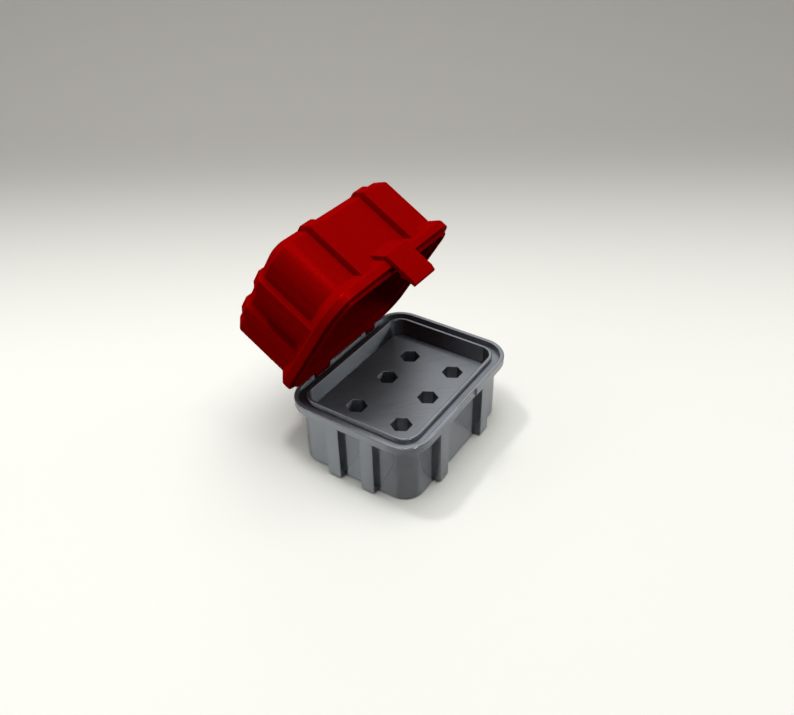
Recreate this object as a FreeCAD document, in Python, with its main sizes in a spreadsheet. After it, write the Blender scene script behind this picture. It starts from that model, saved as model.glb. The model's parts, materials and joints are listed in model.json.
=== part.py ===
import FreeCAD
import Part
import Sketcher
import math
import os
from collections import namedtuple

# A small hinged box for screwdriver bits: a ribbed base with a drop-in block of
# hexagonal sockets, a deep ribbed lid on two pinned hinges and a snap latch in front.
# Millimetres; +Z up; the origin is the middle of the underside; X runs along the
# hinge, -Y is the latch side and +Y the hinge side.  The lid and the latch are drawn
# shut and are then swung open about the hinge line.

SIZES = {
    # cavity and shell
    "cavity_length": 58.6,
    "cavity_width": 43.5,
    "cavity_radius": 5.0,
    "wall_thickness": 2.6,
    "floor_thickness": 2.4,
    "base_height": 27.0,
    "lid_height": 30.0,
    "lid_gap": 0.1,
    # flange round the parting line, with its lip, groove and outer ring
    "lip_thickness": 1.25,
    "groove_width": 2.75,
    "groove_depth": 2.3,
    "ring_thickness": 1.75,
    "flange_height": 3.0,
    "edge_round": 0.3,
    # tongue of the lid that hangs in the groove
    "tongue_inner_gap": 0.55,
    "tongue_outer_gap": 0.4,
    "tongue_depth": 1.25,
    # 45 degree slopes round the foot of the base and round the top of the lid
    "foot_slope": 0.7,
    "lid_slope": 3.0,
    # ribs
    "rib_face": 5.4,
    "rib_flare": 0.25,
    "rib_setback": 0.6,
    "rib_embed": 4.0,
    "long_side_rib": 14.5,
    "short_rib_front": -7.7,
    "short_rib_back": 6.6,
    "cut_margin": 1.0,
    # block of sockets
    "block_height": 17.4,
    "block_clearance": 0.15,
    "socket_flats": 6.6,
    "socket_depth": 15.0,
    "socket_pitch": 17.55,
    "socket_row_pitch": 19.0,
    "socket_shift_x": 0.55,
    "socket_shift_y": -1.15,
    "socket_stagger": 2.15,
    # hinge
    "hinge_setback": 0.1,
    "hinge_rise": 0.2,
    "hinge_left": -13.8,
    "hinge_right": 16.6,
    "knuckle_radius": 2.1,
    "knuckle_left": 8.6,
    "knuckle_right": 5.4,
    "knuckle_clearance": 0.25,
    "ear_radius": 1.8,
    "ear_width": 3.0,
    "cradle_foot": 0.9,
    "cradle_drop": 1.4,
    "cradle_thickness": 0.7,
    "hinge_side_gap": 0.3,
    "pin_radius": 0.875,
    "pin_press_gap": 0.01,
    "pin_running_gap": 0.06,
    "open_angle": 59.0,
    # latch
    "latch_width": 12.0,
    "latch_thickness": 1.9,
    "latch_gap": 0.1,
    "latch_rise": 0.4,
    "latch_drop": 9.9,
    "latch_tip_inset": 0.7,
    "latch_tip_height": 1.8,
    "hook_reach": 0.9,
    "hook_gap": 0.4,
    "hook_land": 0.6,
    "hook_lead": 1.5,
    "seat_depth": 0.5,
    "seat_side_gap": 0.3,
}

WALL = "sizes.wall_thickness"
RING_INSIDE = "(sizes.lip_thickness + sizes.groove_width)"
RIM = f"({RING_INSIDE} + sizes.ring_thickness)"
OVERHANG = f"({RIM} - {WALL})"
RIM_Y = f"(sizes.cavity_width / 2 + {RIM})"
WALL_Y = f"(sizes.cavity_width / 2 + {WALL})"
RING_Y = f"(sizes.cavity_width / 2 + {RING_INSIDE})"

BASE_BAND_Z = "(sizes.base_height - sizes.flange_height)"
LID_Z = "(sizes.base_height + sizes.lid_gap)"
LID_BAND_Z = f"({LID_Z} + sizes.flange_height)"
LID_TOP_Z = f"({LID_Z} + sizes.lid_height)"
LID_SLOPE_Z = f"({LID_TOP_Z} - sizes.lid_slope)"

HINGE_Y = f"({RIM_Y} + sizes.hinge_setback)"
HINGE_Z = "(sizes.base_height + sizes.hinge_rise)"
HINGE_BACK_Y = f"({HINGE_Y} + sizes.knuckle_radius)"
NOTCH_RADIUS = "(sizes.knuckle_radius + sizes.knuckle_clearance)"
EAR_ROOM = "(sizes.ear_radius + sizes.knuckle_clearance)"
CRADLE_FOOT_Y = f"({RIM_Y} + sizes.cradle_foot)"
CRADLE_BACK_Y = f"({HINGE_BACK_Y} + sizes.cradle_thickness)"
CRADLE_Z = f"({HINGE_Z} - sizes.cradle_drop)"

LATCH_INNER_Y = f"({RIM_Y} + sizes.latch_gap)"
LATCH_OUTER_Y = f"({LATCH_INNER_Y} + sizes.latch_thickness)"
LATCH_TOP_Z = f"({LID_BAND_Z} + sizes.latch_rise)"
LATCH_TIP_Z = f"({LID_Z} - sizes.latch_drop)"

Outline = namedtuple("Outline", "length width radius")
Hinge = namedtuple("Hinge", "side station knuckle")

HINGES = (
    Hinge("left", "sizes.hinge_left", "sizes.knuckle_left"),
    Hinge("right", "sizes.hinge_right", "sizes.knuckle_right"),
)


def around_cavity(offset):
    """Rounded rectangle that lies a given distance outside the cavity's edge."""
    return Outline(
        f"sizes.cavity_length + 2 * ({offset})",
        f"sizes.cavity_width + 2 * ({offset})",
        f"sizes.cavity_radius + ({offset})",
    )


def notch_width(hinge):
    """Width of the notch that the lid's knuckle turns in."""
    return f"({hinge.knuckle} + 2 * sizes.hinge_side_gap)"


def hinge_width(hinge):
    """Width over both ears, which is also the length of the pin."""
    return f"({notch_width(hinge)} + 2 * sizes.ear_width)"


def make_sheet(document):
    """Sheet with one named cell for every driving size."""
    sheet = document.addObject("Spreadsheet::Sheet", "sizes")
    for row, (alias, number) in enumerate(SIZES.items(), start=1):
        sheet.set(f"A{row}", alias)
        sheet.set(f"B{row}", str(number))
        sheet.setAlias(f"B{row}", alias)
    document.recompute()
    return sheet


def value(expression):
    """Number that an expression of the sheet has now."""
    return float(FreeCAD.ActiveDocument.getObject("sizes").evalExpression(expression))


def new_body(document, name):
    """Body whose label is the node's name."""
    body = document.addObject("PartDesign::Body", name)
    body.Label = name
    return body


def new_sketch(body, name, plane, offset):
    """Sketch parallel to one of the body's origin planes."""
    sketch = body.newObject("Sketcher::SketchObject", name)
    support = [feature for feature in body.Origin.OriginFeatures if feature.Role == plane]
    sketch.AttachmentSupport = [(support[0], "")]
    sketch.MapMode = "FlatFace"
    sketch.setExpression("AttachmentOffset.Base.z", offset)
    return sketch


def flat_sketch(body, name, height):
    """Sketch in a level plane."""
    return new_sketch(body, name, "XY_Plane", height)


def side_sketch(body, name, station="0"):
    """Sketch across the hinge line: its first axis is Y and its second is Z."""
    return new_sketch(body, name, "YZ_Plane", station)


def bind(sketch, kind, *reference, expression):
    """Dimension of a sketch that follows an expression."""
    index = sketch.addConstraint(Sketcher.Constraint(kind, *reference, value(expression)))
    sketch.setExpression(f"Constraints[{index}]", expression)


def draw_outline(sketch, outline):
    """Rounded rectangle about the sketch's origin."""
    radius = value(outline.radius)
    inner_x = value(outline.length) / 2 - radius
    inner_y = value(outline.width) / 2 - radius
    corners = [(inner_x, -inner_y), (inner_x, inner_y), (-inner_x, inner_y), (-inner_x, -inner_y)]
    quarter = math.pi / 2
    lines = []
    arcs = []
    for number, (x, y) in enumerate(corners):
        centre = FreeCAD.Vector(x, y, 0)
        circle = Part.Circle(centre, FreeCAD.Vector(0, 0, 1), radius)
        start = (number - 1) * quarter
        arcs.append(sketch.addGeometry(Part.ArcOfCircle(circle, start, start + quarter)))
    for number in range(4):
        first = sketch.Geometry[arcs[number]].EndPoint
        second = sketch.Geometry[arcs[(number + 1) % 4]].StartPoint
        lines.append(sketch.addGeometry(Part.LineSegment(first, second)))
    for number in range(4):
        following = arcs[(number + 1) % 4]
        sketch.addConstraint(Sketcher.Constraint("Tangent", arcs[number], 2, lines[number], 1))
        sketch.addConstraint(Sketcher.Constraint("Tangent", lines[number], 2, following, 1))
        sketch.addConstraint(Sketcher.Constraint("Vertical" if number % 2 == 0 else "Horizontal", lines[number]))
    for number in range(1, 4):
        sketch.addConstraint(Sketcher.Constraint("Equal", arcs[0], arcs[number]))
    sketch.addConstraint(Sketcher.Constraint("Symmetric", arcs[0], 3, arcs[2], 3, -1, 1))
    bind(sketch, "DistanceX", lines[2], 1, lines[0], 1, expression=outline.length)
    bind(sketch, "DistanceY", lines[3], 1, lines[1], 1, expression=outline.width)
    bind(sketch, "Radius", arcs[0], expression=outline.radius)


def draw_polygon(sketch, corners):
    """Closed polygon; each corner is a pair of expressions."""
    points = [FreeCAD.Vector(value(x), value(y), 0) for x, y in corners]
    count = len(points)
    lines = []
    for number in range(count):
        segment = Part.LineSegment(points[number], points[(number + 1) % count])
        lines.append(sketch.addGeometry(segment))
    for number in range(count):
        following = lines[(number + 1) % count]
        sketch.addConstraint(Sketcher.Constraint("Coincident", lines[number], 2, following, 1))
    for line, (x, y) in zip(lines, corners):
        bind(sketch, "DistanceX", -1, 1, line, 1, expression=x)
        bind(sketch, "DistanceY", -1, 1, line, 1, expression=y)


def draw_circle(sketch, x, y, radius):
    """Circle whose centre and radius are expressions."""
    centre = FreeCAD.Vector(value(x), value(y), 0)
    circle = sketch.addGeometry(Part.Circle(centre, FreeCAD.Vector(0, 0, 1), value(radius)))
    bind(sketch, "DistanceX", -1, 1, circle, 3, expression=x)
    bind(sketch, "DistanceY", -1, 1, circle, 3, expression=y)
    bind(sketch, "Radius", circle, expression=radius)


def extrude(body, kind, sketch, length, reverse=False, symmetric=False, inset=None):
    """Pad or pocket of a sketch; inset is how far its far end is drawn in."""
    feature = body.newObject(f"PartDesign::{kind}", f"{sketch.Name}_{kind.lower()}")
    feature.Profile = sketch
    feature.setExpression("Length", length)
    feature.Reversed = reverse
    if symmetric:
        feature.SideType = "Symmetric"
    if inset is not None:
        feature.setExpression("TaperAngle", f"-atan(({inset}) / ({length}))")
    sketch.Visibility = False
    body.Document.recompute()
    return feature


def outline_pad(body, name, outline, height, length, **options):
    """Pad of a rounded rectangle that starts at a height."""
    sketch = flat_sketch(body, name, height)
    draw_outline(sketch, outline)
    return extrude(body, "Pad", sketch, length, **options)


def side_cut(body, name, station, width, corners):
    """Slot of a width across the hinge line, with a polygon as its section."""
    sketch = side_sketch(body, name, station)
    draw_polygon(sketch, corners)
    return extrude(body, "Pocket", sketch, width, symmetric=True)


def side_bore(body, name, station, width, radius, kind="Pocket"):
    """Round bore, or barrel, on the hinge line."""
    sketch = side_sketch(body, name, station)
    draw_circle(sketch, HINGE_Y, HINGE_Z, radius)
    return extrude(body, kind, sketch, width, symmetric=True)


def side_web(body, name, station, width, corners):
    """Plate of a width across the hinge line, with a polygon as its section."""
    sketch = side_sketch(body, name, station)
    draw_polygon(sketch, corners)
    return extrude(body, "Pad", sketch, width, symmetric=True)


def rib_corners():
    """Sections of the eight ribs, two on each side of the box."""
    half_face = "sizes.rib_face / 2"
    half_root = f"({half_face} + sizes.rib_flare)"
    depths = (f"{WALL} - sizes.rib_embed", WALL, f"{RIM} - sizes.rib_setback")
    section = [
        (f"-{half_root}", depths[0]),
        (f"-{half_root}", depths[1]),
        (f"-{half_face}", depths[2]),
        (half_face, depths[2]),
        (half_root, depths[1]),
        (half_root, depths[0]),
    ]
    ribs = []
    for along in ("sizes.long_side_rib", "-sizes.long_side_rib"):
        for side in (1, -1):
            ribs.append([
                (f"{along} + {across}", f"{side} * (sizes.cavity_width / 2 + {depth})")
                for across, depth in section
            ])
    for along in ("sizes.short_rib_front", "sizes.short_rib_back"):
        for side in (1, -1):
            ribs.append([
                (f"{side} * (sizes.cavity_length / 2 + {depth})", f"{along} + {across}")
                for across, depth in section
            ])
    return ribs


def rib_pad(body, name, height, length, **options):
    """Pad of all the ribs that starts at a height."""
    sketch = flat_sketch(body, name, height)
    for corners in rib_corners():
        draw_polygon(sketch, corners)
    return extrude(body, "Pad", sketch, length, **options)


def cut_rib_tops(body):
    """Slopes the upper ends of the lid's ribs at 45 degrees on all four sides."""
    margin = "sizes.cut_margin"
    spans = {"YZ_Plane": "sizes.cavity_width", "XZ_Plane": "sizes.cavity_length"}
    for plane, span in spans.items():
        face = f"({span} / 2 + {RIM} - sizes.rib_setback)"
        corners = [
            (f"{face} + {margin}", f"{LID_SLOPE_Z} - {margin}"),
            (f"{face} + {margin}", f"{LID_TOP_Z} + {margin}"),
            (f"{face} - sizes.lid_slope - {margin}", f"{LID_TOP_Z} + {margin}"),
        ]
        sketch = new_sketch(body, f"rib_tops_{plane[:2]}", plane, "0")
        for side in (1, -1):
            draw_polygon(sketch, [(f"{side} * ({across})", height) for across, height in corners])
        extrude(body, "Pocket", sketch, "sizes.cavity_length", symmetric=True)


def ring_sketch(body, name, height, inside, outside):
    """Ring between two outlines round the cavity."""
    sketch = flat_sketch(body, name, height)
    draw_outline(sketch, around_cavity(inside))
    draw_outline(sketch, around_cavity(outside))
    return sketch


def round_level_edges(body, name, height):
    """Rounds every edge that lies in a level plane."""
    level = value(height)
    tip = body.Tip
    names = []
    for number, edge in enumerate(tip.Shape.Edges, start=1):
        box = edge.BoundBox
        if abs(box.ZMin - level) < 1e-5 and abs(box.ZMax - level) < 1e-5:
            names.append(f"Edge{number}")
    fillet = body.newObject("PartDesign::Fillet", name)
    fillet.Base = (tip, names)
    fillet.setExpression("Radius", "sizes.edge_round")
    body.Document.recompute()
    return fillet


def add_base_shell(body):
    """Walls, sloping foot, ribs and flange of the base, with cavity and groove."""
    foot = "sizes.foot_slope"
    outline_pad(body, "base_wall", around_cavity(WALL), foot, f"sizes.base_height - {foot}")
    outline_pad(body, "base_foot", around_cavity(WALL), foot, foot, reverse=True, inset=foot)
    rib_pad(body, "base_ribs", foot, f"{BASE_BAND_Z} - {foot}")
    rib_pad(body, "base_rib_feet", foot, foot, reverse=True, inset=foot)
    outline_pad(body, "base_band", around_cavity(RIM), BASE_BAND_Z, "sizes.flange_height")
    outline_pad(body, "base_slope", around_cavity(RIM), BASE_BAND_Z, OVERHANG,
                reverse=True, inset=OVERHANG)
    cavity = flat_sketch(body, "base_cavity", "sizes.base_height")
    draw_outline(cavity, around_cavity("0"))
    extrude(body, "Pocket", cavity, "sizes.base_height - sizes.floor_thickness")
    groove = ring_sketch(body, "base_groove", "sizes.base_height", "sizes.lip_thickness", RING_INSIDE)
    extrude(body, "Pocket", groove, "sizes.groove_depth")
    round_level_edges(body, "base_rim_round", "sizes.base_height")


def add_latch_seat(body):
    """Shallow seat for the latch in the front of the flange."""
    inner = f"-({RIM_Y} - sizes.seat_depth)"
    outer = f"-({RIM_Y} + sizes.seat_depth)"
    foot = f"{BASE_BAND_Z} - sizes.seat_depth"
    top = "sizes.base_height + sizes.seat_depth"
    corners = [(outer, foot), (inner, foot), (inner, top), (outer, top)]
    side_cut(body, "latch_seat", "0", "sizes.latch_width + 2 * sizes.seat_side_gap", corners)


def add_base_hinge(body, hinge):
    """Two ears with pin holes, and the notch with its cradle for the lid's knuckle."""
    side, station, _ = hinge
    width = hinge_width(hinge)
    web = [
        (RING_Y, BASE_BAND_Z),
        (CRADLE_FOOT_Y, BASE_BAND_Z),
        (CRADLE_BACK_Y, CRADLE_Z),
        (HINGE_Y, CRADLE_Z),
        (HINGE_Y, HINGE_Z),
        (RING_Y, HINGE_Z),
    ]
    side_web(body, f"ear_web_{side}", station, width, web)
    side_bore(body, f"ear_{side}", station, width, "sizes.ear_radius", kind="Pad")
    back = f"{CRADLE_BACK_Y} + sizes.knuckle_clearance"
    top = f"{HINGE_Z} + {NOTCH_RADIUS}"
    room = [(RIM_Y, CRADLE_Z), (back, CRADLE_Z), (back, top), (RIM_Y, top)]
    side_cut(body, f"notch_back_{side}", station, notch_width(hinge), room)
    side_bore(body, f"notch_{side}", station, notch_width(hinge), NOTCH_RADIUS)
    side_bore(body, f"pin_hole_{side}", station, width, "sizes.pin_radius + sizes.pin_press_gap")


def make_base(document):
    """Ribbed base with flange, groove, latch seat and hinge ears."""
    body = new_body(document, "base_box")
    add_base_shell(body)
    add_latch_seat(body)
    for hinge in HINGES:
        add_base_hinge(body, hinge)
    return body


def socket_centres():
    """Centres of the six sockets; the middle one of the back row is staggered."""
    centres = []
    for row in (-0.5, 0.5):
        for column in (-1, 0, 1):
            stagger = 1 if (row > 0 and column == 0) else 0
            x = f"sizes.socket_shift_x + {column} * sizes.socket_pitch + {stagger} * sizes.socket_stagger"
            y = f"sizes.socket_shift_y + {row} * sizes.socket_row_pitch"
            centres.append((x, y))
    return centres


def make_bit_block(document):
    """Drop-in block with six hexagonal sockets."""
    body = new_body(document, "bit_block")
    outline_pad(body, "block", around_cavity("-sizes.block_clearance"),
                "sizes.floor_thickness", "sizes.block_height")
    top = "sizes.floor_thickness + sizes.block_height"
    sockets = flat_sketch(body, "sockets", top)
    reach = "sizes.socket_flats / sqrt(3)"
    for x, y in socket_centres():
        draw_polygon(sockets, [
            (f"{x} + {reach} * cos({60 * corner})", f"{y} + {reach} * sin({60 * corner})")
            for corner in range(6)
        ])
    extrude(body, "Pocket", sockets, "sizes.socket_depth")
    return body


def add_lid_shell(body):
    """Walls, sloping top edge, ribs and flange of the lid, with cavity and tongue."""
    slope = "sizes.lid_slope"
    outline_pad(body, "lid_wall", around_cavity(WALL), LID_Z, f"sizes.lid_height - {slope}")
    outline_pad(body, "lid_top", around_cavity(WALL), LID_SLOPE_Z, slope, inset=slope)
    rib_pad(body, "lid_ribs", LID_BAND_Z, f"{LID_TOP_Z} - {LID_BAND_Z}")
    cut_rib_tops(body)
    outline_pad(body, "lid_band", around_cavity(RIM), LID_Z, "sizes.flange_height")
    outline_pad(body, "lid_band_slope", around_cavity(RIM), LID_BAND_Z, OVERHANG, inset=OVERHANG)
    cavity = flat_sketch(body, "lid_cavity", LID_Z)
    draw_outline(cavity, around_cavity("0"))
    extrude(body, "Pocket", cavity, "sizes.lid_height - sizes.floor_thickness", reverse=True)
    round_level_edges(body, "lid_rim_round", LID_Z)
    tongue = ring_sketch(body, "tongue", LID_Z, "sizes.lip_thickness + sizes.tongue_inner_gap",
                         f"{RING_INSIDE} - sizes.tongue_outer_gap")
    extrude(body, "Pad", tongue, "sizes.tongue_depth", reverse=True)
    round_level_edges(body, "tongue_round", f"{LID_Z} - sizes.tongue_depth")


def add_latch_root(body):
    """Sloping root on the front of the lid that carries the latch."""
    shoulder = f"{LATCH_TOP_Z} + {LATCH_OUTER_Y} - {WALL_Y}"
    inner = f"-({WALL_Y} - sizes.wall_thickness / 2)"
    corners = [
        (inner, LATCH_TOP_Z),
        (f"-{LATCH_OUTER_Y}", LATCH_TOP_Z),
        (f"-{WALL_Y}", shoulder),
        (inner, shoulder),
    ]
    side_web(body, "latch_root", "0", "sizes.latch_width", corners)


def add_lid_hinge(body, hinge):
    """Room for the base's ears and the arm with the knuckle that runs on the pin."""
    side, station, width = hinge
    room = f"{hinge_width(hinge)} + 2 * sizes.hinge_side_gap"
    side_bore(body, f"ear_room_{side}", station, room, EAR_ROOM)
    web = [(RING_Y, HINGE_Z), (HINGE_BACK_Y, HINGE_Z), (RIM_Y, LID_BAND_Z), (RING_Y, LID_BAND_Z)]
    side_web(body, f"arm_{side}", station, width, web)
    side_bore(body, f"knuckle_{side}", station, width, "sizes.knuckle_radius", kind="Pad")
    side_bore(body, f"pin_bore_{side}", station, width, "sizes.pin_radius + sizes.pin_running_gap")


def make_lid(document):
    """Ribbed lid with tongue, latch root and hinge arms."""
    body = new_body(document, "lid_shell")
    add_lid_shell(body)
    add_latch_root(body)
    for hinge in HINGES:
        add_lid_hinge(body, hinge)
    return body


def make_latch(document):
    """Tab that hangs from the latch root and hooks under the flange of the base."""
    body = new_body(document, "front_latch")
    tip_y = f"({RIM_Y} - sizes.hook_reach)"
    tip_z = f"({BASE_BAND_Z} - sizes.hook_reach - sizes.hook_gap)"
    slope_rise = f"({LATCH_INNER_Y} - {tip_y})"
    corners = [
        (f"-{LATCH_OUTER_Y}", LATCH_TOP_Z),
        (f"-{LATCH_OUTER_Y}", f"{LATCH_TIP_Z} + sizes.latch_tip_height"),
        (f"-({LATCH_OUTER_Y} - sizes.latch_tip_inset)", LATCH_TIP_Z),
        (f"-{LATCH_INNER_Y}", LATCH_TIP_Z),
        (f"-{LATCH_INNER_Y}", f"{tip_z} - sizes.hook_land - sizes.hook_lead"),
        (f"-{tip_y}", f"{tip_z} - sizes.hook_land"),
        (f"-{tip_y}", tip_z),
        (f"-{LATCH_INNER_Y}", f"{tip_z} + {slope_rise}"),
        (f"-{LATCH_INNER_Y}", LATCH_TOP_Z),
    ]
    side_web(body, "latch_tab", "0", "sizes.latch_width", corners)
    return body


def make_pin(document, hinge):
    """Hinge pin along the hinge line, pressed into the two ears."""
    pin = document.addObject("Part::Cylinder", f"hinge_pin_{hinge.side}")
    pin.Label = f"hinge_pin_{hinge.side}"
    pin.setExpression("Radius", "sizes.pin_radius")
    pin.setExpression("Height", hinge_width(hinge))
    pin.Placement = FreeCAD.Placement(
        FreeCAD.Vector(0, 0, 0), FreeCAD.Rotation(FreeCAD.Vector(0, 1, 0), 90))
    pin.setExpression(".Placement.Base.x", f"{hinge.station} - {hinge_width(hinge)} / 2")
    pin.setExpression(".Placement.Base.y", HINGE_Y)
    pin.setExpression(".Placement.Base.z", HINGE_Z)
    return pin


def swing_open(body):
    """Turns a body that is drawn shut about the hinge line to the open angle."""
    turn = "sizes.open_angle"
    body.Placement = FreeCAD.Placement(
        FreeCAD.Vector(0, 0, 0), FreeCAD.Rotation(FreeCAD.Vector(-1, 0, 0), value(turn)))
    body.setExpression(".Placement.Rotation.Angle", turn)
    body.setExpression(".Placement.Base.y", f"{HINGE_Y} * (1 - cos({turn})) - {HINGE_Z} * sin({turn})")
    body.setExpression(".Placement.Base.z", f"{HINGE_Z} * (1 - cos({turn})) + {HINGE_Y} * sin({turn})")


def check(document, nodes):
    """Stops the build where an object failed or a node isn't one valid solid."""
    for item in document.Objects:
        if "Invalid" in item.State or "Error" in item.State:
            raise RuntimeError(f"{item.Name}: {item.State}")
    for node in nodes:
        if node.Shape.isNull() or not node.Shape.isValid() or len(node.Shape.Solids) != 1:
            raise RuntimeError(f"{node.Label}: not one valid solid")


def main():
    document = FreeCAD.newDocument("bit_box")
    make_sheet(document)
    lid = make_lid(document)
    latch = make_latch(document)
    nodes = [make_base(document), make_bit_block(document), lid, latch]
    for hinge in HINGES:
        nodes.append(make_pin(document, hinge))
    for body in (lid, latch):
        swing_open(body)
    document.recompute()
    check(document, nodes)
    os.makedirs("parts", exist_ok=True)
    for node in nodes:
        node.Shape.exportStep(f"parts/{node.Label}.step")


main()
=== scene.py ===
"""A hinged box for screwdriver bits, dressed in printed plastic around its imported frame.

The base, its block of sockets and the hinge pins are silver-grey, the lid and its latch
red.  Lengths are in metres in the frame's own axes: X along the hinge, -Y towards the
latch, +Z up.
"""

import json
import logging
import math
from dataclasses import dataclass
from enum import Enum

import bmesh
import bpy
from mathutils import Matrix, Vector


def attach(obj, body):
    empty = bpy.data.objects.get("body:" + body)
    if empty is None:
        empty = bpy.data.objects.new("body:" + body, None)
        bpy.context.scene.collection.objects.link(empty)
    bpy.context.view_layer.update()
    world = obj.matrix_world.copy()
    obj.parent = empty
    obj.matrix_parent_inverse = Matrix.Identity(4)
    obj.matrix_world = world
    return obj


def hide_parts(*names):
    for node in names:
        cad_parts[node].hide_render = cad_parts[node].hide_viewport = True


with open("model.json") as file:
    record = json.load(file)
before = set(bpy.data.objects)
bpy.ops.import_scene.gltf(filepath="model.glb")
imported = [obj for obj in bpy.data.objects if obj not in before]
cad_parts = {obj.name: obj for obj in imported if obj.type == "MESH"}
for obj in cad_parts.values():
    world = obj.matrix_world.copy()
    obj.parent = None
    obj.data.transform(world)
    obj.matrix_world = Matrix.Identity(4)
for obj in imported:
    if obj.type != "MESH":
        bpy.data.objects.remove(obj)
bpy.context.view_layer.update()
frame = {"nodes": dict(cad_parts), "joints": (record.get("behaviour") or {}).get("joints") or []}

LOG = logging.getLogger("bit_box")
MM = 0.001
DIAGONAL = math.sqrt(0.5)
QUARTER_TURN = math.radians(90.0)
PHOTO_WIDTH = 794
Colour = tuple[float, float, float]
Point = tuple[float, float, float]


class Slot(Enum):
    """Material slots of the record."""

    SILVER = "silver_plastic"
    RED = "red_plastic"
    PIN = "pin_plastic"


class Body(Enum):
    """Rigid bodies of the box."""

    BASE = "base"
    LID = "lid"
    LATCH = "latch"


def smooth_mask(tree: bpy.types.ShaderNodeTree, start: float, end: float) -> bpy.types.Node:
    """Adds a mask that rises smoothly from 0 at one value to 1 at another.

    Args:
        tree: The node tree that takes it.
        start: Where it leaves 0.
        end: Where it reaches 1.

    Returns:
        The new node, whose Value is still free.
    """
    mask = tree.nodes.new("ShaderNodeMapRange")
    mask.interpolation_type = "SMOOTHSTEP"
    mask.inputs["From Min"].default_value = start
    mask.inputs["From Max"].default_value = end
    return mask


def colour_mix(
    tree: bpy.types.ShaderNodeTree, first: Colour | None = None, second: Colour | None = None,
) -> bpy.types.Node:
    """Adds a mix of two colours.

    Args:
        tree: The node tree that takes it.
        first: The colour at a factor of 0, or None where a link brings it.
        second: The colour at a factor of 1, or None where a link brings it.

    Returns:
        The new node, whose Factor is still free.
    """
    mix = tree.nodes.new("ShaderNodeMix")
    mix.data_type = "RGBA"
    for name, colour in (("A", first), ("B", second)):
        if colour is not None:
            mix.inputs[name].default_value = (*colour, 1.0)
    return mix


class GroupBuilder:
    """Fills one shader node group, node by node."""

    def __init__(self, name: str) -> None:
        """Starts an empty group with that name."""
        self.tree = bpy.data.node_groups.new(name, "ShaderNodeTree")
        self.entry = self.tree.nodes.new("NodeGroupInput")
        self.exit = self.tree.nodes.new("NodeGroupOutput")

    def socket(self, name: str, kind: str, output: bool = False) -> None:
        """Adds one named socket to the group's outside.

        Args:
            name: The socket's name.
            kind: Float, Color or Vector.
            output: True for an output.
        """
        way = "OUTPUT" if output else "INPUT"
        self.tree.interface.new_socket(name, in_out=way, socket_type=f"NodeSocket{kind}")

    def feed(self, target: bpy.types.NodeSocket, given: object) -> None:
        """Links a socket to an input, or sets the input to a number."""
        if isinstance(given, bpy.types.NodeSocket):
            self.tree.links.new(given, target)
        else:
            target.default_value = given

    def number(
        self, operation: str, first: object, second: object = None,
    ) -> bpy.types.NodeSocket:
        """Adds one Math node.

        Args:
            operation: The node's operation.
            first: A socket or a number.
            second: A second socket or number, where the operation has one.

        Returns:
            The node's output.
        """
        node = self.tree.nodes.new("ShaderNodeMath")
        node.operation = operation
        for place, given in enumerate((first, second)):
            if given is not None:
                self.feed(node.inputs[place], given)
        return node.outputs[0]

    def vector(
        self, operation: str, first: object, second: object = None,
    ) -> bpy.types.NodeSocket:
        """Adds one Vector Math node.

        Args:
            operation: The node's operation.
            first: A vector socket.
            second: A second vector, or the number for a scaling.

        Returns:
            The node's output.
        """
        node = self.tree.nodes.new("ShaderNodeVectorMath")
        node.operation = operation
        self.feed(node.inputs[0], first)
        if second is not None:
            self.feed(node.inputs["Scale" if operation == "SCALE" else 1], second)
        return node.outputs[0]

    def split(self, given: bpy.types.NodeSocket) -> bpy.types.NodeOutputs:
        """Adds a node that splits a vector, and returns its outputs X, Y and Z."""
        node = self.tree.nodes.new("ShaderNodeSeparateXYZ")
        self.feed(node.inputs[0], given)
        return node.outputs

    def join(self, *parts: bpy.types.NodeSocket) -> bpy.types.NodeSocket:
        """Adds a node that joins X, Y and Z, and returns its vector."""
        node = self.tree.nodes.new("ShaderNodeCombineXYZ")
        for target, part in zip(node.inputs, parts):
            self.feed(target, part)
        return node.outputs[0]

    def ridges(self, place: object, pitch: object) -> bpy.types.NodeSocket:
        """Slope across rounded ridges, from 1 down to -1 over each.

        Args:
            place: The way across them.
            pitch: The width of one.

        Returns:
            The slope.
        """
        share = self.number("FRACT", self.number("DIVIDE", place, pitch))
        return self.number("COSINE", self.number("MULTIPLY", share, math.pi))


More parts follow.
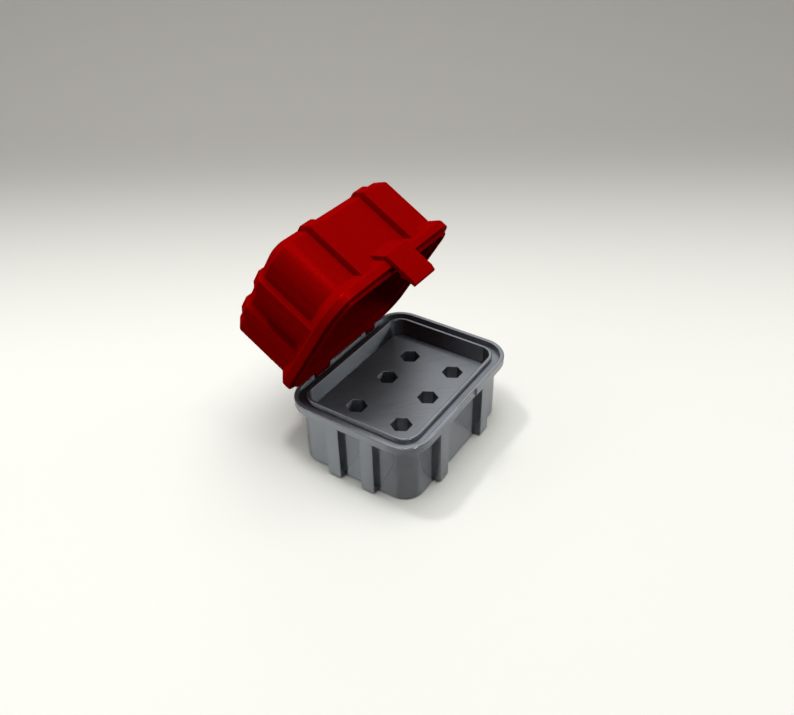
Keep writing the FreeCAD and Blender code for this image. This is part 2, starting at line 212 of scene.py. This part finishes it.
@dataclass(frozen=True)
class BeadPattern:
    """Marks of the nozzle: stacked layers on the sides, laid beads on level faces."""

    level_start: float = 0.93
    level_full: float = 0.99
    streak_scale: float = 900.0
    streak_detail: float = 3.0
    streak_roughness: float = 0.6
    streak_stretch: float = 0.12
    streak_squeeze: float = 2.5

    def group(self) -> bpy.types.ShaderNodeTree:
        """Builds the node group that every finish shares.

        Returns:
            A group that turns a place and a normal, both seen along the print's own
            upright, into a tilted normal, a streak mask and a mask of the level faces.
        """
        group = GroupBuilder("printed_beads")
        for name in ("Place", "Normal"):
            group.socket(name, "Vector")
        for name in ("Layer", "Layer Slope", "Bead", "Bead Slope"):
            group.socket(name, "Float")
        group.socket("Normal", "Vector", output=True)
        for name in ("Streaks", "Level"):
            group.socket(name, "Float", output=True)
        given = group.entry.outputs
        place = group.split(given["Place"])
        normal = group.split(given["Normal"])
        across, along = (
            group.number("MULTIPLY", group.number(way, place["X"], place["Y"]), DIAGONAL)
            for way in ("ADD", "SUBTRACT")
        )
        level = smooth_mask(group.tree, self.level_start, self.level_full)
        group.feed(level.inputs["Value"], group.number("ABSOLUTE", normal["Z"]))
        layers = group.ridges(place["Z"], given["Layer"])
        beads = group.ridges(across, given["Bead"])
        rise = group.number("MULTIPLY", layers, given["Layer Slope"])
        sway = group.number("MULTIPLY", beads, given["Bead Slope"])
        sway = group.number("MULTIPLY", sway, level.outputs[0])
        kept = group.number("SUBTRACT", 1.0, group.number("MULTIPLY", rise, normal["Z"]))
        upright = group.vector("SCALE", given["Normal"], kept)
        tilted = group.vector("ADD", upright, group.join(sway, sway, rise))
        streaks = self.streaks(group, across, along, place["Z"])
        group.feed(group.exit.inputs["Normal"], group.vector("NORMALIZE", tilted))
        group.feed(group.exit.inputs["Streaks"], streaks)
        group.feed(group.exit.inputs["Level"], level.outputs[0])
        return group.tree

    def streaks(
        self, group: GroupBuilder, across: bpy.types.NodeSocket, along: bpy.types.NodeSocket,
        height: bpy.types.NodeSocket,
    ) -> bpy.types.NodeSocket:
        """Adds the faint streaks of pigment that run along the beads.

        Args:
            group: The group that takes them.
            across: The way across the beads.
            along: The way along the beads.
            height: The way up the print.

        Returns:
            The streak mask.
        """
        noise = group.tree.nodes.new("ShaderNodeTexNoise")
        noise.inputs["Scale"].default_value = self.streak_scale
        noise.inputs["Detail"].default_value = self.streak_detail
        noise.inputs["Roughness"].default_value = self.streak_roughness
        drawn_out = group.number("MULTIPLY", along, self.streak_stretch)
        stacked = group.number("MULTIPLY", height, self.streak_squeeze)
        group.feed(noise.inputs["Vector"], group.join(across, drawn_out, stacked))
        return noise.outputs["Fac"]


@dataclass(frozen=True)
class PrintedPlastic:
    """Printed plastic with layer lines and faint streaks of its pigment."""

    name: str
    dark: Colour
    light: Colour
    metallic: float
    specular: float
    roughness_low: float
    roughness_high: float
    layer_slope: float
    bead_slope: float = 0.0
    level_haze: float = 0.0
    # painted light: how far level faces are pushed towards the light colour for the light from
    # above
    painted_level_light: float = 0.0
    gloss_tint: Colour = (1.0, 1.0, 1.0)
    layer: float = 0.20 * MM
    bead: float = 0.45 * MM
    build_turn: float = 0.0

    def material(self, beads: bpy.types.ShaderNodeTree) -> bpy.types.Material:
        """Builds the finish as a node material.

        Args:
            beads: The shared group of layer lines.

        Returns:
            The material.
        """
        material = bpy.data.materials.new(self.name)
        material.use_nodes = True
        tree = material.node_tree
        shader = tree.nodes["Principled BSDF"]
        shader.inputs["Metallic"].default_value = self.metallic
        shader.inputs["Specular IOR Level"].default_value = self.specular
        shader.inputs["Specular Tint"].default_value = (*self.gloss_tint, 1.0)
        marks = self.marks(tree, beads)
        tree.links.new(self.pigment(tree, marks), shader.inputs["Base Color"])
        tree.links.new(self.gloss(tree, marks), shader.inputs["Roughness"])
        tree.links.new(self.relief(tree, marks), shader.inputs["Normal"])
        return material

    def marks(
        self, tree: bpy.types.ShaderNodeTree, beads: bpy.types.ShaderNodeTree,
    ) -> bpy.types.Node:
        """Places the shared group, turned to the way the piece was printed.

        Args:
            tree: The material's node tree.
            beads: The shared group of layer lines.

        Returns:
            The group's node.
        """
        marks = tree.nodes.new("ShaderNodeGroup")
        marks.node_tree = beads
        marks.inputs["Layer"].default_value = self.layer
        marks.inputs["Layer Slope"].default_value = self.layer_slope
        marks.inputs["Bead"].default_value = self.bead
        marks.inputs["Bead Slope"].default_value = self.bead_slope
        surface = tree.nodes.new("ShaderNodeTexCoord").outputs
        place = self.turned(tree, "POINT", surface["Object"], self.build_turn)
        normal = self.turned(tree, "VECTOR", surface["Normal"], self.build_turn)
        tree.links.new(place, marks.inputs["Place"])
        tree.links.new(normal, marks.inputs["Normal"])
        return marks

    @staticmethod
    def turned(
        tree: bpy.types.ShaderNodeTree, kind: str, given: bpy.types.NodeSocket, angle: float,
    ) -> bpy.types.NodeSocket:
        """Turns a place or a direction about the hinge's own direction.

        Args:
            tree: The material's node tree.
            kind: POINT or VECTOR.
            given: What is turned.
            angle: How far.

        Returns:
            The turned vector.
        """
        turn = tree.nodes.new("ShaderNodeMapping")
        turn.vector_type = kind
        turn.inputs["Rotation"].default_value[0] = angle
        tree.links.new(given, turn.inputs["Vector"])
        return turn.outputs["Vector"]

    @staticmethod
    def with_level(
        tree: bpy.types.ShaderNodeTree, marks: bpy.types.Node, share: float,
        value: bpy.types.NodeSocket,
    ) -> bpy.types.NodeSocket:
        """Raises a value on the level faces.

        Args:
            tree: The material's node tree.
            marks: The group's node.
            share: How far it is raised there.
            value: The value.

        Returns:
            The raised value.
        """
        raised = tree.nodes.new("ShaderNodeMath")
        raised.operation = "MULTIPLY_ADD"
        raised.inputs[1].default_value = share
        tree.links.new(marks.outputs["Level"], raised.inputs[0])
        tree.links.new(value, raised.inputs[2])
        return raised.outputs[0]

    def pigment(
        self, tree: bpy.types.ShaderNodeTree, marks: bpy.types.Node,
    ) -> bpy.types.NodeSocket:
        """Adds the colour, streaked, and lighter on level faces as painted light for the
        overhead light they catch.

        Args:
            tree: The material's node tree.
            marks: The group's node.

        Returns:
            The colour.
        """
        colour = colour_mix(tree, self.dark, self.light)
        # painted light: level faces lean towards the light colour to stand in for the overhead
        # light they reflect
        tone = self.with_level(tree, marks, self.painted_level_light, marks.outputs["Streaks"])
        tree.links.new(tone, colour.inputs["Factor"])
        return colour.outputs["Result"]

    def gloss(
        self, tree: bpy.types.ShaderNodeTree, marks: bpy.types.Node,
    ) -> bpy.types.NodeSocket:
        """Adds the roughness, streaked and higher on level faces.

        Args:
            tree: The material's node tree.
            marks: The group's node.

        Returns:
            The roughness.
        """
        gloss = tree.nodes.new("ShaderNodeMapRange")
        gloss.inputs["To Min"].default_value = self.roughness_low
        gloss.inputs["To Max"].default_value = self.roughness_high
        tree.links.new(marks.outputs["Streaks"], gloss.inputs["Value"])
        return self.with_level(tree, marks, self.level_haze, gloss.outputs[0])

    def relief(
        self, tree: bpy.types.ShaderNodeTree, marks: bpy.types.Node,
    ) -> bpy.types.NodeSocket:
        """Brings the group's tilted normal back to where the piece stands now.

        Args:
            tree: The material's node tree.
            marks: The group's node.

        Returns:
            The normal for the shader.
        """
        world = tree.nodes.new("ShaderNodeVectorTransform")
        world.vector_type = "NORMAL"
        world.convert_from, world.convert_to = "OBJECT", "WORLD"
        back = self.turned(tree, "VECTOR", marks.outputs["Normal"], -self.build_turn)
        tree.links.new(back, world.inputs["Vector"])
        return world.outputs["Vector"]


@dataclass
class PrintedPiece:
    """One printed node, shown as a merged copy whose outer edges are softened."""

    node: str
    body: Body
    slot: Slot
    edge_radius: float = 0.22 * MM
    edge_segments: int = 3
    edge_room: float = 2.0
    merge_within: float = 0.002 * MM
    flat_within: float = math.radians(0.5)
    sharp_from: float = math.radians(38.0)
    shaded_from: float = math.radians(32.0)
    broad_from: float = math.radians(12.0)
    broad: float = 0.8 * MM
    broad_weight: int = 100

    def build(self, material: bpy.types.Material) -> bpy.types.Object:
        """Makes the piece, dresses it and lets it ride on its body.

        Args:
            material: The finish of the whole piece.

        Returns:
            The new object.
        """
        source = frame["nodes"][self.node]
        mesh = bpy.data.meshes.new(f"{self.node}_printed")
        self.soften(source.data, mesh)
        mesh.materials.clear()
        mesh.materials.append(material)
        piece = bpy.data.objects.new(f"{self.node}_printed", mesh)
        bpy.context.scene.collection.objects.link(piece)
        even = piece.modifiers.new("even_shading", "WEIGHTED_NORMAL")
        even.mode = "FACE_AREA"
        even.weight = self.broad_weight
        even.keep_sharp = True
        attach(piece, self.body.value)
        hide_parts(self.node)
        return piece

    def soften(self, solid: bpy.types.Mesh, mesh: bpy.types.Mesh) -> None:
        """Merges a solid's triangles and rounds its sharp outer edges.

        Args:
            solid: The node's own mesh, which stays as it is.
            mesh: The mesh that takes the result.
        """
        shape = bmesh.new()
        shape.from_mesh(solid)
        bmesh.ops.remove_doubles(shape, verts=shape.verts, dist=self.merge_within)
        bmesh.ops.dissolve_limit(
            shape, angle_limit=self.flat_within, verts=shape.verts, edges=shape.edges,
            delimit={"NORMAL"})
        sharp = [edge for edge in shape.edges if self.is_rounded(edge)]
        bmesh.ops.bevel(
            shape, geom=sharp, offset=self.edge_radius, offset_type="OFFSET",
            segments=self.edge_segments, profile=0.5, affect="EDGES", clamp_overlap=False,
            material=-1)
        for face in shape.faces:
            face.smooth = True
        for edge in shape.edges:
            edge.smooth = not self.is_crease(edge)
        shape.to_mesh(mesh)
        shape.free()

    def is_rounded(self, edge: bmesh.types.BMEdge) -> bool:
        """Tells whether an edge is sharp, stands out and has room for its radius.

        Args:
            edge: An edge of the merged mesh.

        Returns:
            True where both faces reach far enough from the edge.
        """
        if not (edge.is_manifold and edge.is_convex):
            return False
        if edge.calc_face_angle() <= self.sharp_from:
            return False
        start = edge.verts[0].co
        way = (edge.verts[1].co - start).normalized()
        reach = min(
            max((corner.co - start).cross(way).length for corner in face.verts)
            for face in edge.link_faces
        )
        return reach > self.edge_room * self.edge_radius

    def is_crease(self, edge: bmesh.types.BMEdge) -> bool:
        """Tells whether the shading breaks at an edge.

        Args:
            edge: An edge of the softened mesh.

        Returns:
            True at a large turn, and at a smaller one between two broad faces.
        """
        if not edge.is_manifold:
            return True
        turn = edge.calc_face_angle()
        breadth = min(
            face.calc_area() / max(side.calc_length() for side in face.edges)
            for face in edge.link_faces
        )
        return turn > self.shaded_from or (turn > self.broad_from and breadth > self.broad)


@dataclass
class BitBox:
    """The whole box: grey base with its block and pins, red lid with its latch."""

    silver: PrintedPlastic
    silver_pin: PrintedPlastic
    red: PrintedPlastic
    pin_edge: float = 0.1 * MM
    lid_edge: float = 0.45 * MM
    latch_edge: float = 0.3 * MM

    def build(self) -> list[bpy.types.Object]:
        """Builds and dresses every piece.

        Returns:
            The new objects.
        """
        beads = BeadPattern().group()
        finishes = {
            Slot.SILVER: self.silver.material(beads),
            Slot.PIN: self.silver_pin.material(beads),
            Slot.RED: self.red.material(beads),
        }
        pieces = (
            PrintedPiece("base_box", Body.BASE, Slot.SILVER),
            PrintedPiece("bit_block", Body.BASE, Slot.SILVER),
            PrintedPiece("hinge_pin_left", Body.BASE, Slot.PIN, self.pin_edge),
            PrintedPiece("hinge_pin_right", Body.BASE, Slot.PIN, self.pin_edge),
            PrintedPiece("lid_shell", Body.LID, Slot.RED, self.lid_edge),
            PrintedPiece("front_latch", Body.LATCH, Slot.RED, self.latch_edge),
        )
        return [piece.build(finishes[piece.slot]) for piece in pieces]


@dataclass(frozen=True)
class Lamp:
    """Square soft panel that faces a point."""

    name: str
    place: Point
    size: float
    watts: float

    def build(self, target: Vector) -> None:
        """Makes the lamp and turns it to the target."""
        data = bpy.data.lights.new(self.name, "AREA")
        data.shape = "SQUARE"
        data.size = self.size
        data.energy = self.watts
        lamp = bpy.data.objects.new(self.name, data)
        lamp.location = self.place
        heading = target - Vector(self.place)
        lamp.rotation_euler = heading.to_track_quat("-Z", "Y").to_euler()
        bpy.context.scene.collection.objects.link(lamp)


@dataclass
class Studio:
    """Pale sweep, soft panels and the camera."""

    eye: Vector
    yaw: float
    pitch: float
    roll: float
    focal_pixels: float
    clip_near: float = 0.01
    clip_far: float = 10.0
    lit_height: float = 0.03
    sweep_behind: float = 0.24
    sweep_radius: float = 0.22
    sweep_reach: float = 1.6
    sweep_steps: int = 24
    paper: Colour = (0.95, 0.945, 0.89)
    # painted shade: the grey that the paper takes behind the box, for less light reaching it
    paper_far_shade: Colour = (0.425, 0.412, 0.383)
    paper_bounce: Colour = (0.10, 0.10, 0.10)
    paper_roughness: float = 0.8
    fade_start: float = 0.02
    fade_end: float = 0.30
    tent_low: Colour = (0.62, 0.62, 0.62)
    tent_high: Colour = (0.25, 0.25, 0.25)
    tent_bend: tuple[float, float] = (0.3, 0.8)
    opening: Colour = (0.04, 0.04, 0.04)
    opening_turn: float = math.radians(11.0)
    opening_edge: float = math.radians(54.0)
    opening_blur: float = math.radians(4.0)
    lamps: tuple[Lamp, ...] = (
        Lamp("panel_above", (0.05, -0.05, 1.20), size=0.96, watts=8.7),
        Lamp("panel_left", (-0.67, 0.57, 0.20), size=0.50, watts=0.95),
        Lamp("panel_back", (0.50, 0.41, 0.50), size=0.50, watts=0.4),
        Lamp("panel_right", (0.69, -0.58, 0.27), size=0.40, watts=0.45),
        Lamp("lamp_behind", (-0.03, 0.22, 0.62), size=0.06, watts=0.9),
        Lamp("lamp_front", (-0.016, -0.234, 0.55), size=0.04, watts=0.1),
    )

    def build(self) -> None:
        """Makes the stage, the light and the camera."""
        self.sweep()
        for lamp in self.lamps:
            lamp.build(Vector((0.0, 0.0, self.lit_height)))
        bpy.context.scene.world = self.tent()
        self.camera()
        bpy.context.scene.view_settings.view_transform = "Standard"

    def sweep(self) -> None:
        """Makes the floor, which curves up into a backdrop behind the box."""
        shape = bmesh.new()
        heading = Matrix.Rotation(self.yaw, 3, "Z")
        side = heading @ Vector((self.sweep_reach, 0.0, 0.0))
        ahead = heading @ Vector((0.0, 1.0, 0.0))
        near = -self.sweep_reach * ahead
        edge = shape.edges.new([shape.verts.new(near - side), shape.verts.new(near + side)])
        strip = self.pull(shape, edge, ahead * (self.sweep_reach + self.sweep_behind))
        bmesh.ops.spin(
            shape, geom=strip, angle=QUARTER_TURN, steps=self.sweep_steps, use_merge=False,
            axis=side.normalized(),
            cent=ahead * self.sweep_behind + Vector((0.0, 0.0, self.sweep_radius)))
        for face in shape.faces:
            face.smooth = True
        mesh = bpy.data.meshes.new("paper_sweep")
        shape.to_mesh(mesh)
        shape.free()
        mesh.materials.append(self.paper_material())
        sweep = bpy.data.objects.new("paper_sweep", mesh)
        bpy.context.scene.collection.objects.link(sweep)

    @staticmethod
    def pull(
        shape: bmesh.types.BMesh, edge: bmesh.types.BMEdge, way: Vector,
    ) -> list[bmesh.types.BMEdge]:
        """Extrudes an edge along a way.

        Args:
            shape: The mesh that it is in.
            edge: The edge.
            way: How far it moves.

        Returns:
            The new edges.
        """
        made = bmesh.ops.extrude_edge_only(shape, edges=[edge])["geom"]
        moved = [part for part in made if isinstance(part, bmesh.types.BMVert)]
        bmesh.ops.translate(shape, verts=moved, vec=way)
        return [part for part in made if isinstance(part, bmesh.types.BMEdge)]

    def paper_material(self) -> bpy.types.Material:
        """Matt paper, pale to the eye and in reflections, that throws little light back.

        Returns:
            The material.
        """
        material = bpy.data.materials.new("paper")
        material.use_nodes = True
        tree = material.node_tree
        shader = tree.nodes["Principled BSDF"]
        shader.inputs["Roughness"].default_value = self.paper_roughness
        shader.inputs["Specular IOR Level"].default_value = 0.0
        ray = tree.nodes.new("ShaderNodeLightPath")
        seen = ray.outputs["Is Camera Ray"]
        for kind in ("Is Glossy Ray", "Is Transmission Ray"):
            either = tree.nodes.new("ShaderNodeMath")
            either.operation = "MAXIMUM"
            tree.links.new(seen, either.inputs[0])
            tree.links.new(ray.outputs[kind], either.inputs[1])
            seen = either.outputs[0]
        # painted shade: the paper greys towards the bend of the sweep
        tone = colour_mix(tree, self.paper, self.paper_far_shade)
        tree.links.new(self.painted_depth_shade(tree), tone.inputs["Factor"])
        colour = colour_mix(tree, self.paper_bounce)
        tree.links.new(tone.outputs["Result"], colour.inputs["B"])
        tree.links.new(seen, colour.inputs["Factor"])
        tree.links.new(colour.outputs["Result"], shader.inputs["Base Color"])
        return material

    def painted_depth_shade(self, tree: bpy.types.ShaderNodeTree) -> bpy.types.NodeSocket:
        """Adds the mask of painted shade that greys the paper behind the box, standing in for
        less light reaching it there.

        Args:
            tree: The paper's node tree.

        Returns:
            A mask, 0 at the box and 1 at the bend of the sweep.
        """
        coordinate = tree.nodes.new("ShaderNodeTexCoord")
        turn = tree.nodes.new("ShaderNodeMapping")
        turn.inputs["Rotation"].default_value[2] = -self.yaw
        parts = tree.nodes.new("ShaderNodeSeparateXYZ")
        fade = smooth_mask(tree, self.fade_start, self.fade_end)
        tree.links.new(coordinate.outputs["Object"], turn.inputs["Vector"])
        tree.links.new(turn.outputs["Vector"], parts.inputs[0])
        tree.links.new(parts.outputs["Y"], fade.inputs["Value"])
        return fade.outputs[0]

    def tent(self) -> bpy.types.World:
        """White tent round the box, open and dark on the side of the camera.

        Returns:
            The world that stands for it.
        """
        world = bpy.data.worlds.new("tent")
        world.use_nodes = True
        tree = world.node_tree
        coordinate = tree.nodes.new("ShaderNodeTexCoord")
        facing = tree.nodes.new("ShaderNodeVectorMath")
        facing.operation = "DOT_PRODUCT"
        heading = Matrix.Rotation(self.yaw + self.opening_turn, 3, "Z")
        facing.inputs[1].default_value = heading @ Vector((0.0, -1.0, 0.0))
        mask = smooth_mask(
            tree, math.cos(self.opening_edge + self.opening_blur),
            math.cos(self.opening_edge - self.opening_blur))
        parts = tree.nodes.new("ShaderNodeSeparateXYZ")
        rise = smooth_mask(tree, *self.tent_bend)
        cloth = colour_mix(tree, self.tent_low, self.tent_high)
        tone = colour_mix(tree, second=self.opening)
        tree.links.new(coordinate.outputs["Generated"], parts.inputs[0])
        tree.links.new(parts.outputs["Z"], rise.inputs["Value"])
        tree.links.new(rise.outputs[0], cloth.inputs["Factor"])
        tree.links.new(cloth.outputs["Result"], tone.inputs["A"])
        tree.links.new(coordinate.outputs["Generated"], facing.inputs[0])
        tree.links.new(facing.outputs["Value"], mask.inputs["Value"])
        tree.links.new(mask.outputs[0], tone.inputs["Factor"])
        tree.links.new(tone.outputs["Result"], tree.nodes["Background"].inputs["Color"])
        return world

    def camera(self) -> None:
        """Sets the camera at the photographed angle."""
        data = bpy.data.cameras.new("photo_camera")
        data.sensor_fit = "HORIZONTAL"
        data.lens = data.sensor_width * self.focal_pixels / PHOTO_WIDTH
        data.clip_start = self.clip_near
        data.clip_end = self.clip_far
        camera = bpy.data.objects.new("photo_camera", data)
        turn = (
            Matrix.Rotation(self.yaw, 3, "Z")
            @ Matrix.Rotation(QUARTER_TURN + self.pitch, 3, "X")
            @ Matrix.Rotation(self.roll, 3, "Z")
        )
        camera.location = self.eye
        camera.rotation_euler = turn.to_euler()
        bpy.context.scene.collection.objects.link(camera)
        bpy.context.scene.camera = camera


def lid_turn() -> float:
    """Angle that brings the open lid back to its upright printing position."""
    hinge = next(joint for joint in frame["joints"] if joint["name"] == "lid_hinge")
    return math.radians(-hinge["range_deg"][0])


def main() -> None:
    """Builds the box and its studio."""
    logging.basicConfig(level=logging.INFO, format="%(name)s %(message)s")
    silver = PrintedPlastic(
        "silver_print", dark=(0.14, 0.153, 0.165), light=(0.275, 0.293, 0.32),
        metallic=0.8, specular=0.5, roughness_low=0.04, roughness_high=0.09,
        layer_slope=0.8, bead_slope=0.26, level_haze=0.30, painted_level_light=0.45)
    pin = PrintedPlastic(
        "silver_filament", dark=(0.36, 0.37, 0.39), light=(0.42, 0.43, 0.45),
        metallic=0.6, specular=0.5, roughness_low=0.22, roughness_high=0.3,
        layer_slope=0.03)
    red = PrintedPlastic(
        "red_print", dark=(0.29, 0.0003, 0.0003), light=(0.335, 0.0005, 0.0005),
        metallic=0.1, specular=0.0, roughness_low=0.16, roughness_high=0.22,
        layer_slope=0.1, bead_slope=0.05, level_haze=0.10,
        gloss_tint=(1.0, 0.08, 0.07), build_turn=lid_turn())
    for piece in BitBox(silver, pin, red).build():
        LOG.info("%s: %d faces", piece.name, len(piece.data.polygons))
    Studio(
        eye=Vector((-192.244, -128.679, 205.864)) * MM, yaw=math.radians(-55.780),
        pitch=math.radians(-36.617), roll=math.radians(-1.328), focal_pixels=805.96).build()


if __name__ == "__main__":
    main()
